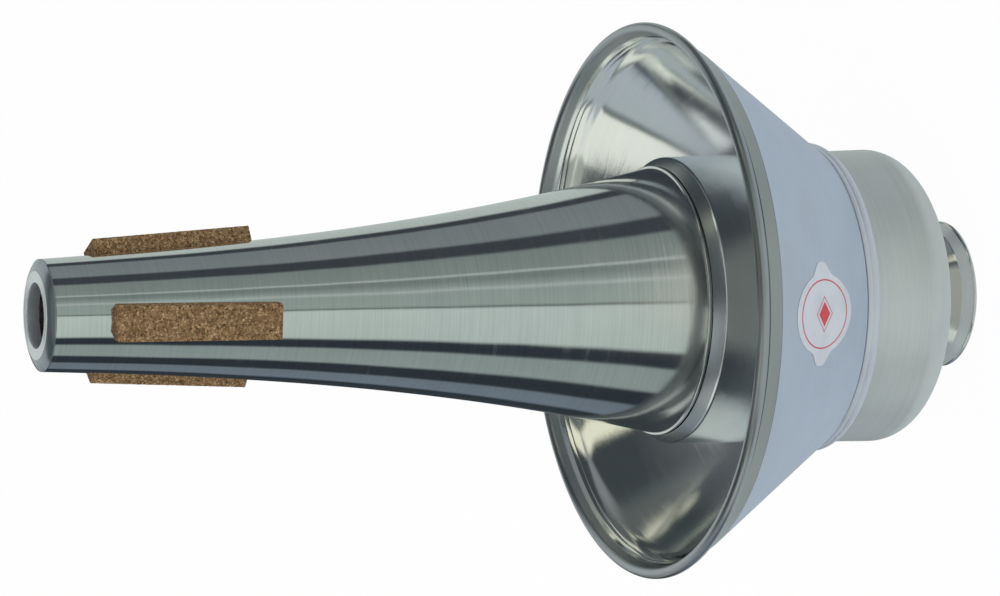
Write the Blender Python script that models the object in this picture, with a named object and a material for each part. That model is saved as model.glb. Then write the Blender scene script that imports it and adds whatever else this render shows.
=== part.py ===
"""Tenor trombone mute with a sliding cup and a pull-out rear tube.

The mute stands on the rim of its rear tube, +Z up along its axis to the nose.
Heights are in metres from that rim, and every turned piece is spun about Z.
"""

import bmesh
import bpy
from math import atan, atan2, cos, pi, radians, sin, sqrt, tan
from mathutils import Matrix, Vector

# Driving dimensions, all in metres unless a name says otherwise
SEAT_GAP = 0.0003
SLIDE_GAP = 0.0003
LARGE_SEGMENTS = 60
SMALL_SEGMENTS = 36
SHARP_ANGLE = radians(30)

CHAMBER_HEIGHT = 0.0759
CHAMBER_FRONT_RADIUS = 0.0399
CHAMBER_SHOULDER_HEIGHT = 0.0032
CHAMBER_SHOULDER_WIDTH = 0.0024
CHAMBER_SHOULDER_ROUND = 0.0008
CHAMBER_REAR_RADIUS = 0.0415
CHAMBER_CORNER_RADIUS = 0.0092
CHAMBER_CROWN = 0.0015
CHAMBER_CROWN_MID_SHARE = 0.75
CHAMBER_WALL = 0.0012
CORNER_STEPS = 6
CREST_STEPS = 2

STEM_LENGTH = 0.1753
STEM_NOSE_RADIUS = 0.0147
STEM_TAPER_SHARE = 0.40
STEM_FLARE_POWER = 2.45
STEM_WALL = 0.0012
STEM_STEPS = 12
STEM_ROW_SPREAD = 0.8
STEM_SLOPE_STEP = 0.001
ROOT_BEAD_PROUD = 0.0004
ROOT_BEAD_RADIUS = 0.0005
ROOT_BEAD_START = radians(108)
ROOT_BEAD_END = radians(-80)
ROOT_BEAD_STEPS = 5
GROOVE_HEIGHT = 0.0008
SKIRT_DEPTH = 0.0090

NOSE_EDGE_HEIGHT = 0.0003
NOSE_BORE_RADIUS = 0.00865
NOSE_BORE_DEPTH = 0.0036
NOSE_FACE_RADIUS = 0.0113
NOSE_CHAMFER_HEIGHT = 0.0019
NOSE_CHAMFER_FULLNESS = 0.45
NOSE_SPIGOT_DEPTH = 0.0076
NOSE_SPIGOT_WALL = 0.0020
NOSE_CHAMFER_STEPS = 4

CORK_COUNT = 3
CORK_FIRST_ANGLE = radians(22.5)
CORK_LENGTH = 0.0450
CORK_WIDTH = 0.0096
CORK_THICKNESS = 0.0042
CORK_FROM_NOSE = 0.0165
CORK_END_BEVEL = 0.0005
CORK_EDGE_BEVEL = 0.0005
CORK_LENGTH_STEPS = 6
CORK_WIDTH_STEPS = 4

CUP_RIM_RADIUS = 0.0773
CUP_BEAD_RADIUS = 0.0016
CUP_BAND_HEIGHT = 0.0080
CUP_BAND_STEP = 0.0008
CUP_CONE_RADIUS = 0.0714
CUP_CONE_HEIGHT = 0.0378
CUP_WALL = 0.0012
BEAD_CLOSING_ANGLE = radians(171)
BEAD_STEPS = 9

COLLAR_FROM_DOME = 0.0277
COLLAR_BEAD_HEIGHT = 0.0042
COLLAR_BEAD_WALL = 0.0023
COLLAR_SPIGOT_HEIGHT = 0.0060
COLLAR_SPIGOT_WALL = 0.0012
COLLAR_EDGE_HEIGHT = 0.00105
COLLAR_EDGE_DEPTH = 0.00075
COLLAR_GROOVE_DEPTH = 0.0003
COLLAR_GROOVE_HALF_WIDTH = 0.0004

TUBE_RADIUS = 0.0122
TUBE_WALL = 0.0008
TUBE_LENGTH = 0.0980
TUBE_NECK_LAP = 0.0060

SOCKET_WALL = 0.0009
SOCKET_DEPTH = 0.0280
SOCKET_FLANGE_WIDTH = 0.0030
SOCKET_FLANGE_THICKNESS = 0.0010

FLARE_RIM_RADIUS = 0.0208
FLARE_HEIGHT = 0.0130
FLARE_NECK_POWER = 1.1
FLARE_BAND_RADIUS = 0.0182
FLARE_BAND_HEIGHT = 0.0035
FLARE_WALL = 0.0009
FLARE_STANDOFF = 0.0148
FLARE_RIM_ROUND = 0.0007
FLARE_RIM_START = radians(50)
FLARE_RIM_STEPS = 3
FLARE_STEPS = 6
FLARE_MOUTH_POWER = 2.0
FLARE_MOUTH_STEPS = 5

# Heights and radii that follow from the sizes above
dome_z = FLARE_STANDOFF
mouth_z = dome_z + CHAMBER_HEIGHT
stem_top_z = mouth_z + STEM_LENGTH
nose_z = stem_top_z + SEAT_GAP + NOSE_EDGE_HEIGHT + NOSE_CHAMFER_HEIGHT
crest_z = mouth_z - CHAMBER_SHOULDER_HEIGHT
mouth_radius = CHAMBER_FRONT_RADIUS - CHAMBER_SHOULDER_WIDTH
skirt_radius = mouth_radius - SEAT_GAP
root_bead_z = mouth_z + GROOVE_HEIGHT
root_bead_centre = skirt_radius + ROOT_BEAD_PROUD - ROOT_BEAD_RADIUS
root_z = root_bead_z + ROOT_BEAD_RADIUS * sin(ROOT_BEAD_START)
stem_root_radius = root_bead_centre + ROOT_BEAD_RADIUS * cos(ROOT_BEAD_START)
socket_bore_radius = TUBE_RADIUS + SLIDE_GAP
socket_radius = socket_bore_radius + SOCKET_WALL
dome_hole_radius = socket_radius + SEAT_GAP
corner_top_z = dome_z + CHAMBER_CROWN + CHAMBER_CORNER_RADIUS


def make_material(name, colour, metallic, roughness):
    """Make one Principled material."""
    material = bpy.data.materials.new(name)
    material.use_nodes = True
    shader = material.node_tree.nodes["Principled BSDF"]
    shader.inputs["Base Color"].default_value = (*colour, 1.0)
    shader.inputs["Metallic"].default_value = metallic
    shader.inputs["Roughness"].default_value = roughness
    return material


def finish_object(name, bm, material):
    """Turn a bmesh into a named object with outward faces."""
    bmesh.ops.recalc_face_normals(bm, faces=bm.faces)
    mesh = bpy.data.meshes.new(name)
    bm.to_mesh(mesh)
    bm.free()
    mesh.materials.append(material)
    mesh.shade_smooth()
    mesh.set_sharp_from_angle(angle=SHARP_ANGLE)
    piece = bpy.data.objects.new(name, mesh)
    bpy.context.collection.objects.link(piece)
    return piece


def spin_outline(name, outline, segments, material):
    """Spin a closed outline of (radius, z) points about Z into one ring."""
    bm = bmesh.new()
    verts = [bm.verts.new((radius, 0.0, z)) for radius, z in outline]
    edges = [bm.edges.new((verts[i - 1], verts[i])) for i in range(len(verts))]
    bmesh.ops.spin(
        bm,
        geom=verts + edges,
        cent=(0.0, 0.0, 0.0),
        axis=(0.0, 0.0, 1.0),
        angle=2.0 * pi,
        steps=segments,
        use_merge=True,
    )
    return finish_object(name, bm, material)


def arc_points(centre_radius, centre_z, radius, start, end, steps):
    """Points along an arc in the (radius, z) plane, from angle start to end."""
    points = []
    for i in range(steps + 1):
        angle = start + (end - start) * i / steps
        points.append((centre_radius + radius * cos(angle), centre_z + radius * sin(angle)))
    return points


def curve_points(start, corner, end, steps):
    """Points along the soft curve from start to end that leans towards a corner."""
    points = []
    for i in range(steps + 1):
        share = i / steps
        weights = ((1.0 - share) ** 2, 2.0 * share * (1.0 - share), share**2)
        radius = weights[0] * start[0] + weights[1] * corner[0] + weights[2] * end[0]
        z = weights[0] * start[1] + weights[1] * corner[1] + weights[2] * end[1]
        points.append((radius, z))
    return points


def chamber_radius(z):
    """Outer radius of the chamber's gently tapered wall."""
    share = (crest_z - z) / (crest_z - corner_top_z)
    return CHAMBER_FRONT_RADIUS + (CHAMBER_REAR_RADIUS - CHAMBER_FRONT_RADIUS) * share


def stem_radius(z):
    """Outer radius of the stem: a straight taper that opens like a trumpet towards its root."""
    share = (nose_z - z) / (nose_z - root_z)
    opening = STEM_TAPER_SHARE * share + (1.0 - STEM_TAPER_SHARE) * share**STEM_FLARE_POWER
    return STEM_NOSE_RADIUS + (stem_root_radius - STEM_NOSE_RADIUS) * opening


def stem_slope(z):
    """Angle of the stem's wall to its axis."""
    below = stem_radius(z - STEM_SLOPE_STEP)
    above = stem_radius(z + STEM_SLOPE_STEP)
    return atan((below - above) / (2.0 * STEM_SLOPE_STEP))


def build_nose_ring(material):
    """Thick turned ring that closes the nose, with a spigot inside the stem."""
    visible_radius = stem_radius(stem_top_z)
    spigot_radius = visible_radius - STEM_WALL - SEAT_GAP
    shoulder = stem_top_z + SEAT_GAP
    chamfer_low = shoulder + NOSE_EDGE_HEIGHT
    bore_low = nose_z - NOSE_BORE_DEPTH
    middle_radius = (visible_radius + NOSE_FACE_RADIUS) / 2
    middle_z = (chamfer_low + nose_z) / 2
    leaning = (
        middle_radius + (visible_radius - middle_radius) * NOSE_CHAMFER_FULLNESS,
        middle_z + (nose_z - middle_z) * NOSE_CHAMFER_FULLNESS,
    )
    outline = [(visible_radius, shoulder)]
    outline += curve_points(
        (visible_radius, chamfer_low), leaning, (NOSE_FACE_RADIUS, nose_z), NOSE_CHAMFER_STEPS
    )
    outline += [
        (NOSE_BORE_RADIUS, nose_z),
        (NOSE_BORE_RADIUS, bore_low),
        (spigot_radius - NOSE_SPIGOT_WALL, bore_low),
        (spigot_radius - NOSE_SPIGOT_WALL, shoulder - NOSE_SPIGOT_DEPTH),
        (spigot_radius, shoulder - NOSE_SPIGOT_DEPTH),
        (spigot_radius, shoulder),
    ]
    return spin_outline("nose_ring", outline, SMALL_SEGMENTS, material)


def build_stem_shell(material):
    """Spun stem: trumpet taper, fine bead at its root, and a skirt inside the chamber's mouth."""
    outer = []
    inner = []
    for i in range(STEM_STEPS + 1):
        share = (i / STEM_STEPS) ** STEM_ROW_SPREAD
        z = stem_top_z + (root_z - stem_top_z) * share
        outer.append((stem_radius(z), z))
        inner.append((stem_radius(z) - STEM_WALL, z))
    outer += arc_points(
        root_bead_centre,
        root_bead_z,
        ROOT_BEAD_RADIUS,
        ROOT_BEAD_START,
        ROOT_BEAD_END,
        ROOT_BEAD_STEPS,
    )[1:]
    outer.append((skirt_radius, mouth_z - SKIRT_DEPTH))
    inner += [
        (skirt_radius - STEM_WALL, root_bead_z - ROOT_BEAD_RADIUS),
        (skirt_radius - STEM_WALL, mouth_z - SKIRT_DEPTH),
    ]
    return spin_outline("stem_shell", outer + inner[::-1], LARGE_SEGMENTS, material)


def build_cork_strip(index, material):
    """Cork strip: hollowed to the stem below, flat on its outer face, with cut-back ends."""
    angle = CORK_FIRST_ANGLE + index * 2.0 * pi / CORK_COUNT
    top_z = nose_z - CORK_FROM_NOSE
    middle_z = top_z - CORK_LENGTH / 2
    slope = stem_slope(middle_z)
    along = Vector((sin(slope), 0.0, -cos(slope)))
    out = Vector((cos(slope), 0.0, sin(slope)))
    face_middle = Vector((stem_radius(middle_z), 0.0, middle_z)) + out * CORK_THICKNESS
    bm = bmesh.new()
    rows = []
    for i in range(CORK_LENGTH_STEPS + 1):
        lengthwise = (i / CORK_LENGTH_STEPS - 0.5) * CORK_LENGTH
        under = []
        for j in range(CORK_WIDTH_STEPS + 1):
            across = (j / CORK_WIDTH_STEPS - 0.5) * CORK_WIDTH
            z = middle_z + along.z * lengthwise
            reach = stem_radius(z) + SEAT_GAP
            under.append(bm.verts.new((sqrt(reach**2 - across**2), across, z)))
        limit = CORK_LENGTH / 2 - CORK_END_BEVEL
        cut_back = max(-limit, min(limit, lengthwise))
        face = face_middle + along * cut_back
        over = []
        for side in (-1.0, 1.0):
            half = CORK_WIDTH / 2
            low = face - out * CORK_EDGE_BEVEL
            pair = [
                bm.verts.new((low.x, side * half, low.z)),
                bm.verts.new((face.x, side * (half - CORK_EDGE_BEVEL), face.z)),
            ]
            over.append(pair)
        loop = under + [over[1][0], over[1][1], over[0][1], over[0][0]]
        rows.append(loop)
    for first, second in zip(rows[:-1], rows[1:]):
        for j in range(len(first)):
            bm.faces.new((first[j - 1], first[j], second[j], second[j - 1]))
    bm.faces.new(rows[0])
    bm.faces.new(rows[-1])
    bmesh.ops.triangulate(bm, faces=[f for f in bm.faces if len(f.verts) > 4])
    bmesh.ops.rotate(
        bm,
        verts=bm.verts,
        cent=(0.0, 0.0, 0.0),
        matrix=Matrix.Rotation(angle, 3, "Z"),
    )
    return finish_object("cork_strip_%d" % (index + 1), bm, material)


def build_chamber(material):
    """Spun chamber: sloping shoulder up to its mouth, tapered wall, round corner, crowned back."""
    corner_centre = CHAMBER_REAR_RADIUS - CHAMBER_CORNER_RADIUS
    flat_z = dome_z + CHAMBER_CROWN
    facing = atan2(CHAMBER_SHOULDER_WIDTH, CHAMBER_SHOULDER_HEIGHT)
    outer = [(mouth_radius, mouth_z)]
    outer += arc_points(
        CHAMBER_FRONT_RADIUS - CHAMBER_SHOULDER_ROUND,
        crest_z - CHAMBER_SHOULDER_ROUND * tan(facing / 2),
        CHAMBER_SHOULDER_ROUND,
        facing,
        0.0,
        CREST_STEPS,
    )
    outer += arc_points(
        corner_centre, corner_top_z, CHAMBER_CORNER_RADIUS, 0.0, -pi / 2, CORNER_STEPS
    )
    crown_radius = (corner_centre + dome_hole_radius) / 2
    crown_z = flat_z - CHAMBER_CROWN * CHAMBER_CROWN_MID_SHARE
    outer += [
        (crown_radius, crown_z),
        (dome_hole_radius, dome_z),
    ]
    inner = [
        (dome_hole_radius, dome_z + CHAMBER_WALL),
        (crown_radius, crown_z + CHAMBER_WALL),
    ]
    inner += arc_points(
        corner_centre,
        corner_top_z,
        CHAMBER_CORNER_RADIUS - CHAMBER_WALL,
        -pi / 2,
        0.0,
        CORNER_STEPS,
    )
    inner += [
        (CHAMBER_FRONT_RADIUS - CHAMBER_WALL, crest_z - CHAMBER_WALL * tan(facing / 2)),
        (mouth_radius, mouth_z - CHAMBER_WALL / sin(facing)),
    ]
    return spin_outline("chamber_shell", outer + inner, LARGE_SEGMENTS, material)


def build_tube_socket(material):
    """Sleeve fixed in the chamber's back, with a thin flange outside, that grips the tube."""
    flange_top = dome_z - SEAT_GAP
    flange_radius = socket_radius + SOCKET_FLANGE_WIDTH
    outline = [
        (socket_radius, dome_z + SOCKET_DEPTH),
        (socket_radius, flange_top),
        (flange_radius, flange_top),
        (flange_radius, flange_top - SOCKET_FLANGE_THICKNESS),
        (socket_bore_radius, flange_top - SOCKET_FLANGE_THICKNESS),
        (socket_bore_radius, dome_z + SOCKET_DEPTH),
    ]
    return spin_outline("tube_socket", outline, SMALL_SEGMENTS, material)


def flare_radius(z):
    """Outer radius of the flared end between its neck and the steep band at its rim."""
    neck = TUBE_RADIUS + SEAT_GAP + FLARE_WALL
    share = (FLARE_HEIGHT - z) / (FLARE_HEIGHT - FLARE_BAND_HEIGHT)
    return neck + (FLARE_BAND_RADIUS - neck) * share**FLARE_NECK_POWER


def build_tube(material):
    """Straight tube that slides in the socket, with its lower end inside the flare's neck."""
    low = FLARE_HEIGHT - TUBE_NECK_LAP
    outline = [
        (TUBE_RADIUS, low + TUBE_LENGTH),
        (TUBE_RADIUS, low),
        (TUBE_RADIUS - TUBE_WALL, low),
        (TUBE_RADIUS - TUBE_WALL, low + TUBE_LENGTH),
    ]
    return spin_outline("slide_tube", outline, SMALL_SEGMENTS, material)


def build_flared_end(material):
    """Flare on the tube's outer end, with a steep band and a rim that the mute can stand on."""
    outer = []
    inner = []
    bore = TUBE_RADIUS + SEAT_GAP
    seat_z = FLARE_HEIGHT - TUBE_NECK_LAP - SEAT_GAP
    for i in range(FLARE_STEPS + 1):
        z = FLARE_HEIGHT + (FLARE_BAND_HEIGHT - FLARE_HEIGHT) * i / FLARE_STEPS
        outer.append((flare_radius(z), z))
    rim_centre = FLARE_RIM_RADIUS - FLARE_RIM_ROUND
    outer += arc_points(
        rim_centre, FLARE_RIM_ROUND, FLARE_RIM_ROUND, FLARE_RIM_START, -pi / 2, FLARE_RIM_STEPS
    )
    throat = TUBE_RADIUS - TUBE_WALL
    mouth = rim_centre - FLARE_WALL
    for i in range(FLARE_MOUTH_STEPS + 1):
        share = i / FLARE_MOUTH_STEPS
        opening = (1.0 - share) ** FLARE_MOUTH_POWER
        inner.append((throat + (mouth - throat) * opening, seat_z * share))
    inner += [
        (bore, seat_z),
        (bore, FLARE_HEIGHT),
    ]
    return spin_outline("flared_end", outer + inner, SMALL_SEGMENTS, material)


def build_cup_collar(material):
    """Ring that grips the chamber and carries the cup, with a grooved bead behind the cone."""
    shoulder = dome_z + COLLAR_FROM_DOME + COLLAR_BEAD_HEIGHT
    low = dome_z + COLLAR_FROM_DOME
    top = shoulder + COLLAR_SPIGOT_HEIGHT
    bore_low = chamber_radius(low) + SLIDE_GAP
    bore_top = chamber_radius(top) + SLIDE_GAP
    bead = bore_low + COLLAR_BEAD_WALL
    groove_top = shoulder - COLLAR_EDGE_HEIGHT
    groove_middle = groove_top - COLLAR_GROOVE_HALF_WIDTH
    outline = [
        (bore_top, top),
        (bore_top + COLLAR_SPIGOT_WALL, top),
        (bore_top + COLLAR_SPIGOT_WALL, shoulder),
        (bead, shoulder),
        (bead, groove_top),
        (bead - COLLAR_GROOVE_DEPTH, groove_middle),
        (bead, groove_middle - COLLAR_GROOVE_HALF_WIDTH),
        (bead, low + COLLAR_EDGE_HEIGHT),
        (bead - COLLAR_EDGE_DEPTH, low),
        (bore_low, low),
    ]
    return spin_outline("cup_collar", outline, LARGE_SEGMENTS, material)


def build_cup_cone(material):
    """Spun cup: cone, short steep band and rolled rim bead, seated on the collar."""
    shoulder = dome_z + COLLAR_FROM_DOME + COLLAR_BEAD_HEIGHT
    low = shoulder + SEAT_GAP
    spigot = chamber_radius(shoulder + COLLAR_SPIGOT_HEIGHT) + SLIDE_GAP + COLLAR_SPIGOT_WALL
    throat_inner = spigot + SEAT_GAP
    throat_outer = throat_inner + CUP_WALL
    band_low = low + CUP_CONE_HEIGHT
    band_top = band_low + CUP_BAND_HEIGHT
    bead_centre = CUP_RIM_RADIUS - CUP_BEAD_RADIUS
    bead_z = band_top + CUP_BEAD_RADIUS
    band_radius = bead_centre - CUP_BAND_STEP
    outline = [(throat_outer, low), (CUP_CONE_RADIUS, band_low), (band_radius, band_top)]
    outline += arc_points(
        bead_centre, bead_z, CUP_BEAD_RADIUS, -pi / 2, BEAD_CLOSING_ANGLE, BEAD_STEPS
    )
    outline += [
        (band_radius - CUP_WALL, band_top),
        (CUP_CONE_RADIUS - CUP_WALL, band_low + CUP_WALL / 2),
        (throat_inner, low + CUP_WALL),
        (throat_inner, low),
    ]
    return spin_outline("cup_cone", outline, LARGE_SEGMENTS, material)


def main():
    for old in list(bpy.data.objects):
        bpy.data.objects.remove(old, do_unlink=True)
    polished = make_material("polished_aluminium", (0.72, 0.73, 0.72), 1.0, 0.16)
    satin = make_material("satin_aluminium", (0.70, 0.71, 0.73), 1.0, 0.34)
    cork = make_material("cork", (0.42, 0.24, 0.12), 0.0, 0.85)
    build_nose_ring(satin)
    build_stem_shell(polished)
    for index in range(CORK_COUNT):
        build_cork_strip(index, cork)
    build_chamber(polished)
    build_tube_socket(satin)
    collar = build_cup_collar(satin)
    cone = build_cup_cone(satin)
    cone.parent = collar
    tube = build_tube(polished)
    flare = build_flared_end(satin)
    flare.parent = tube


main()
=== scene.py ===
# Looks of a trombone mute with a sliding cup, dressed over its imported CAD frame.
# Everything is in metres, the mute stands on its rear rim and +Z runs up to the nose.
import bpy
from math import atan, atan2, cos, degrees, pi, radians, sin, tan
from mathutils import Matrix, Vector


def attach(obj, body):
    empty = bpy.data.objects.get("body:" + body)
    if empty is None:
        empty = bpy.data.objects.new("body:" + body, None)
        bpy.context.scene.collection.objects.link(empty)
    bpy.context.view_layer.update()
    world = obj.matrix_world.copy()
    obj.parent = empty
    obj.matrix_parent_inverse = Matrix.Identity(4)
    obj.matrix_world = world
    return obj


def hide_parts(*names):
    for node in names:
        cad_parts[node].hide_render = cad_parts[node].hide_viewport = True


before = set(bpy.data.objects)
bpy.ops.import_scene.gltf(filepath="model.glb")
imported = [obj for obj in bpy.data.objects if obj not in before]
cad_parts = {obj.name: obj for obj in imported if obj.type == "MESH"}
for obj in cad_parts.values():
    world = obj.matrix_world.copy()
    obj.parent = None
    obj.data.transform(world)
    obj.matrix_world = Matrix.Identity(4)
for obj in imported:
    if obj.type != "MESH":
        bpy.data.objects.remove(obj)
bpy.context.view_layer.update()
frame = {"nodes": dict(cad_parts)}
print("frame loaded:", ", ".join(frame["nodes"]))

scene = bpy.context.scene
scene.view_settings.view_transform = "Standard"


# Shader maths
class Wire:
    # one output socket that takes part in sums
    def __init__(self, kit, socket):
        self.kit = kit
        self.socket = socket

    def __add__(self, other):
        return self.kit.maths("ADD", self, other)

    def __sub__(self, other):
        return self.kit.maths("SUBTRACT", self, other)

    def __rsub__(self, other):
        return self.kit.maths("SUBTRACT", other, self)

    def __mul__(self, other):
        return self.kit.maths("MULTIPLY", self, other)

    def __truediv__(self, other):
        return self.kit.maths("DIVIDE", self, other)

    def __rtruediv__(self, other):
        return self.kit.maths("DIVIDE", other, self)

    def __pow__(self, other):
        return self.kit.maths("POWER", self, other)

    def __rpow__(self, other):
        return self.kit.maths("POWER", other, self)

    def __abs__(self):
        return self.kit.node("Math", {"operation": "ABSOLUTE"}, {0: self})

    __radd__ = __add__
    __rmul__ = __mul__


class Kit:
    # the nodes of one material or of the world
    def __init__(self, tree):
        self.tree = tree
        tree.nodes.clear()

    def node(self, kind, settings=None, sockets=None, out=0):
        made = self.tree.nodes.new("ShaderNode" + kind)
        for name, value in (settings or {}).items():
            if name == "stops":
                ramp = made.color_ramp
                while len(ramp.elements) > 1:
                    ramp.elements.remove(ramp.elements[0])
                ramp.elements[0].position = value[0][0]
                for place, colour in value:
                    spot = ramp.elements[0] if place == value[0][0] else ramp.elements.new(place)
                    spot.color = (*colour, 1.0)
            else:
                setattr(made, name, value)
        for name, value in (sockets or {}).items():
            if isinstance(value, Wire):
                self.tree.links.new(value.socket, made.inputs[name])
            else:
                made.inputs[name].default_value = value
        return Wire(self, made.outputs[out]) if made.outputs else None

    def maths(self, operation, first, second):
        return self.node("Math", {"operation": operation}, {0: first, 1: second})

    def clamped(self, value, low, high, start=0.0, end=1.0):
        return self.node("MapRange", {}, {
            "Value": value, "From Min": low, "From Max": high, "To Min": start, "To Max": end})

    def above(self, value, edge, soft):
        return self.clamped(value, edge - soft, edge + soft)

    def below(self, value, edge, soft):
        return self.clamped(value, edge - soft, edge + soft, 1.0, 0.0)

    def between(self, value, low, high, soft):
        return self.above(value, low, soft) * self.below(value, high, soft)

    def blend(self, first, second, share):
        return self.node("Mix", {"data_type": "RGBA"}, {0: share, 6: first, 7: second}, 2)

    def grain(self, vector, scale, detail=2.0, roughness=0.5):
        return self.node("TexNoise", {}, {
            "Vector": vector, "Scale": scale, "Detail": detail, "Roughness": roughness})

    def place(self):
        # object coordinates, split, and the distance from the mute's axis
        spot = self.node("TexCoord", out="Object")
        x, y, z = self.split(spot)
        radius = (x * x + y * y + 1e-9) ** 0.5
        return spot, x, y, z, radius

    def split(self, vector):
        return [self.node("SeparateXYZ", {}, {0: vector}, axis) for axis in range(3)]

    def joined(self, x, y, z):
        return self.node("CombineXYZ", {}, {0: x, 1: y, 2: z})


def rgb(red, green, blue):
    return (red, green, blue, 1.0)


def newMaterial(name):
    material = bpy.data.materials.new(name)
    material.use_nodes = True
    return material, Kit(material.node_tree)


def closeMaterial(kit, colour, roughness, metallic, bump, fixed=()):
    # the Principled shader, with the values that are the same all over on its own sockets
    sockets = {"Base Color": colour, "Roughness": roughness, "Metallic": metallic, "Normal": bump}
    sockets.update(fixed)
    shader = kit.node("BsdfPrincipled", {}, sockets)
    kit.node("OutputMaterial", {}, {"Surface": shader})


# Turned and spun metal
lathe = {
    "perMetre": 1000.0, "ringEdge": 0.65, "fineTimes": 4.0, "cloudEdge": 0.55, "contrast": (0.3, 0.7),
    "patchScale": 32.0, "patchRange": (0.38, 0.62), "patchFloor": 0.4, "markScale": 900.0, "markEdge": 0.6,
    "markRange": (0.66, 0.74), "markRough": 0.05, "dragScale": 420.0, "scratchRange": (0.62, 0.66),
    "scratchedRange": (0.45, 0.6), "scratchRough": 0.05, "scratchHeight": 0.25, "ringShare": 0.6,
    "warmScale": 18.0, "warmRange": (0.45, 0.75)}
polishedLook = {
    "dark": (0.62, 0.64, 0.63), "light": (0.85, 0.87, 0.86), "warm": (0.80, 0.78, 0.72), "warmShare": 0.22,
    "roughness": 0.085, "ringRough": 0.08, "cloudRough": 0.03, "ringTone": 0.35, "cloudTone": 0.3,
    "ringsPerMm": 1.5, "ringBump": 0.25, "ringDepth": 0.00002, "sway": 0.6, "cloudScale": 45.0,
    "waveScale": 70.0, "waveStretch": 0.5, "waveDepth": 0.00011, "anisotropic": 0.6, "metallic": 1.0}
satinLook = dict(
    polishedLook, dark=(0.62, 0.66, 0.66), light=(0.76, 0.80, 0.80), warm=(0.70, 0.72, 0.66),
    roughness=0.48, ringRough=0.12, cloudRough=0.10, ringBump=0.45, ringDepth=0.00003, ringsPerMm=2.2,
    waveStretch=1.0, waveDepth=0.00004, anisotropic=0.35)
turnedLook = dict(
    satinLook, dark=(0.62, 0.66, 0.66), light=(0.80, 0.84, 0.84), roughness=0.30, ringBump=0.5,
    ringsPerMm=3.0, anisotropic=0.5)


def turnedMetal(name, look, zones=()):
    # fine rings left by the lathe, slow cloudiness, rubbed and scratched places, on object coordinates;
    # a zone is a finish of its own, with a function that says where it covers the piece; some zones carry
    # painted shade and a painted reflection in their colours
    material, kit = newMaterial(name)
    spot, x, y, z, radius = kit.place()
    across = radius * lathe["perMetre"]
    along = z * lathe["perMetre"]
    sway = x / radius * look["sway"]
    perMm = look["ringsPerMm"]
    rings = kit.grain(kit.joined(across, along, sway), perMm, 3.0, lathe["ringEdge"])
    fineRings = kit.grain(kit.joined(across, along, sway * 2.0 + 7.0), perMm * lathe["fineTimes"], 2.0)
    cloud = kit.grain(spot, look["cloudScale"], 3.0, lathe["cloudEdge"])
    patch = kit.clamped(kit.grain(spot, lathe["patchScale"], 2.0), *lathe["patchRange"])
    marks = kit.clamped(kit.grain(spot, lathe["markScale"], 2.0, lathe["markEdge"]), *lathe["markRange"])
    dragged = kit.joined(radius * lathe["dragScale"], z * lathe["dragScale"], sway * 5.0 + 3.0)
    scratches = kit.clamped(kit.grain(dragged, 1.0, 1.0), *lathe["scratchRange"])
    scratches = scratches * kit.clamped(cloud, *lathe["scratchedRange"])
    tone = kit.clamped(rings, *lathe["contrast"], -1.0, 1.0) * look["ringTone"]
    tone = tone + kit.clamped(cloud, *lathe["contrast"], -1.0, 1.0) * look["cloudTone"]
    share = kit.clamped(tone, -1.0, 1.0)
    colour = kit.blend(rgb(*look["dark"]), rgb(*look["light"]), share)
    rough = look["roughness"]
    metal = look["metallic"]
    for zone, cover in zones:
        mask = cover(kit, radius, z)
        zoneColour = kit.blend(rgb(*zone["dark"]), rgb(*zone["light"]), share)
        colour = kit.blend(colour, zoneColour, mask)
        rough = mask * zone["roughness"] + (1.0 - mask) * rough
        metal = mask * zone["metallic"] + (1.0 - mask) * metal
    warm = kit.clamped(kit.grain(spot, lathe["warmScale"], 1.0), *lathe["warmRange"], 0.0, look["warmShare"])
    colour = kit.blend(colour, rgb(*look["warm"]), warm)
    rough = rough + (rings - 0.5) * patch * look["ringRough"] + (cloud - 0.5) * look["cloudRough"]
    rough = rough + marks * lathe["markRough"] + scratches * lathe["scratchRough"]
    height = rings * lathe["ringShare"] + fineRings * (1.0 - lathe["ringShare"])
    height = height * (patch * (1.0 - lathe["patchFloor"]) + lathe["patchFloor"])
    height = height + scratches * lathe["scratchHeight"]
    bump = kit.node("Bump", {}, {
        "Strength": look["ringBump"], "Distance": look["ringDepth"], "Height": height})
    wave = kit.grain(kit.joined(x, y, z * look["waveStretch"]), look["waveScale"], 1.0)
    bump = kit.node("Bump", {}, {
        "Strength": 1.0, "Distance": look["waveDepth"], "Height": wave, "Normal": bump})
    closeMaterial(kit, colour, rough, metal, bump, {
        "Anisotropic": look["anisotropic"], "Anisotropic Rotation": 0.25})
    return material


# Drawing and spinning outlines
spinning = {"seed": 0.001, "weld": 1e-6, "smoothAngle": 32.0, "cornerReach": 0.45, "cornerSteps": 4}


def nothingSelected():
    if bpy.context.object and bpy.context.object.mode != "OBJECT":
        bpy.ops.object.mode_set(mode="OBJECT")
    bpy.ops.object.select_all(action="DESELECT")


def onlySelected(piece):
    nothingSelected()
    piece.select_set(True)
    bpy.context.view_layer.objects.active = piece


def shapeBy(piece, kind, **settings):
    # a modifier of the active piece, set and applied at once
    bpy.ops.object.modifier_add(type=kind)
    modifier = piece.modifiers[-1]
    for name, value in settings.items():
        setattr(modifier, name, value)
    bpy.ops.object.modifier_apply(modifier=modifier.name)


def smoothCorners(corners):
    # corners are (radius, height, rounding); a rounded one becomes a short curve
    drawn = []
    steps = spinning["cornerSteps"]
    most = spinning["cornerReach"]
    for i, (radius, height, rounding) in enumerate(corners):
        here = Vector((radius, height))
        if rounding == 0.0:
            drawn.append(here)
            continue
        before = Vector(corners[i - 1][:2]) - here
        after = Vector(corners[(i + 1) % len(corners)][:2]) - here
        reach = min(rounding, before.length * most, after.length * most)
        start = here + before.normalized() * reach
        end = here + after.normalized() * reach
        for step in range(steps + 1):
            share = step / steps
            drawn.append(start * (1 - share) ** 2 + here * 2 * share * (1 - share) + end * share ** 2)
    return drawn


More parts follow.
